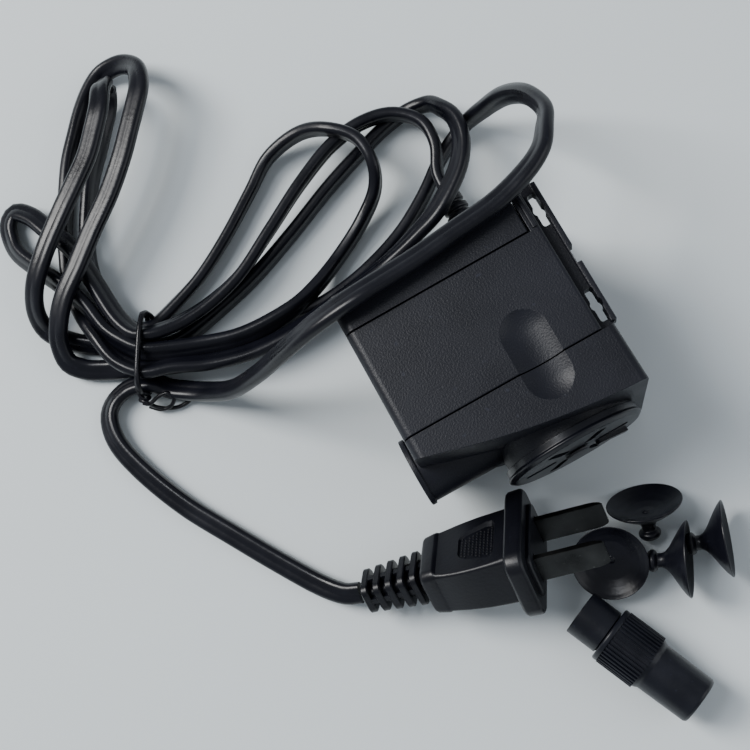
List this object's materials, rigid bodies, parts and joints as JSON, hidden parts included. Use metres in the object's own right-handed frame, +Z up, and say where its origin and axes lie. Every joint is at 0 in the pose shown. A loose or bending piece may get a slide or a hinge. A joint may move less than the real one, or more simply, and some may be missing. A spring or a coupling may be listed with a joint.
{
  "type": "wave maker pump",
  "caption": "Small box-shaped submersible aquarium pump on its side, with a coiled flat mains lead and plug, rubber suction cups and a push-on hose adaptor.",
  "frame": {"origin": "on the bench surface under the middle of the pump body", "axes": "+Z up from the face the pump rests on, -Y towards the intake dial, +X towards the mounting ears, -X out of the outlet"},
  "size_m": [0.1278, 0.2041, 0.0477],
  "materials": {
    "housing_plastic": "black ABS with a fine moulded grain",
    "dial_plastic": "smooth black ABS",
    "adaptor_plastic": "smooth black ABS, knurled on the collar",
    "pivot_nylon": "dark nylon",
    "ferrite": null,
    "ceramic": null,
    "seal_rubber": "soft black rubber",
    "core_steel": "laminated electrical steel",
    "bobbin_nylon": "natural nylon",
    "copper_wire": null,
    "potting_resin": "black potting resin",
    "red_insulation": "thin red wire insulation",
    "blue_insulation": "thin blue wire insulation",
    "cord_pvc": "satin black PVC",
    "tie_plastic": "plastic-coated wire tie",
    "plug_pvc": "satin black PVC",
    "blade_metal": "plated blade",
    "cup_rubber": "soft black rubber"
  },
  "bodies": {
    "pump": {"motor_housing": "housing_plastic", "back_cover": "housing_plastic", "rotor_well": "housing_plastic", "well_cap": "housing_plastic", "volute_seal": "seal_rubber", "ceramic_shaft": "ceramic", "rear_bearing": "seal_rubber", "stator_core": "core_steel", "lower_bobbin": "bobbin_nylon", "upper_bobbin": "bobbin_nylon", "lower_winding": "copper_wire", "upper_winding": "copper_wire", "potting_block": "potting_resin", "thermal_fuse": "core_steel", "live_wire": "red_insulation", "neutral_wire": "blue_insulation", "cable_gland": "cord_pvc", "power_cord": "cord_pvc", "twist_tie": "tie_plastic", "tie_tail": "tie_plastic", "plug_body": "plug_pvc", "plug_blade_1": "blade_metal", "plug_blade_2": "blade_metal", "plug_strain_relief": "plug_pvc", "suction_cup_1": "cup_rubber", "suction_cup_2": "cup_rubber", "suction_cup_3": "cup_rubber", "suction_cup_4": "cup_rubber", "adaptor_sleeve": "adaptor_plastic", "adaptor_seal": "seal_rubber"},
    "cover": {"front_cover": "housing_plastic", "intake_grille": "housing_plastic", "dial_pivot": "pivot_nylon", "front_bearing": "seal_rubber"},
    "dial": {"intake_dial": "dial_plastic"},
    "rotor": {"impeller": "dial_plastic", "rotor_magnet": "ferrite"},
    "adaptor_nut": {"adaptor_collar": "adaptor_plastic"}
  },
  "joints": [
    {"name": "cover_slide", "type": "slide", "parent": "pump", "child": "cover", "axis": [0, -1, 0], "range_m": [0, 0.0045]},
    {"name": "dial_turn", "type": "hinge", "parent": "cover", "child": "dial", "pos_m": [0.0065, -0.0287, 0.021], "axis": [0, -1, 0], "range_deg": [0, 30]},
    {"name": "rotor_spin", "type": "hinge", "parent": "pump", "child": "rotor", "pos_m": [0.0065, 0, 0.021], "axis": [0, -1, 0], "continuous": true},
    {"name": "adaptor_turn", "type": "hinge", "parent": "pump", "child": "adaptor_nut", "pos_m": [-0.0099, -0.0583, 0.00675], "axis": [0.4067, -0.9135, 0], "continuous": true}
  ]
}
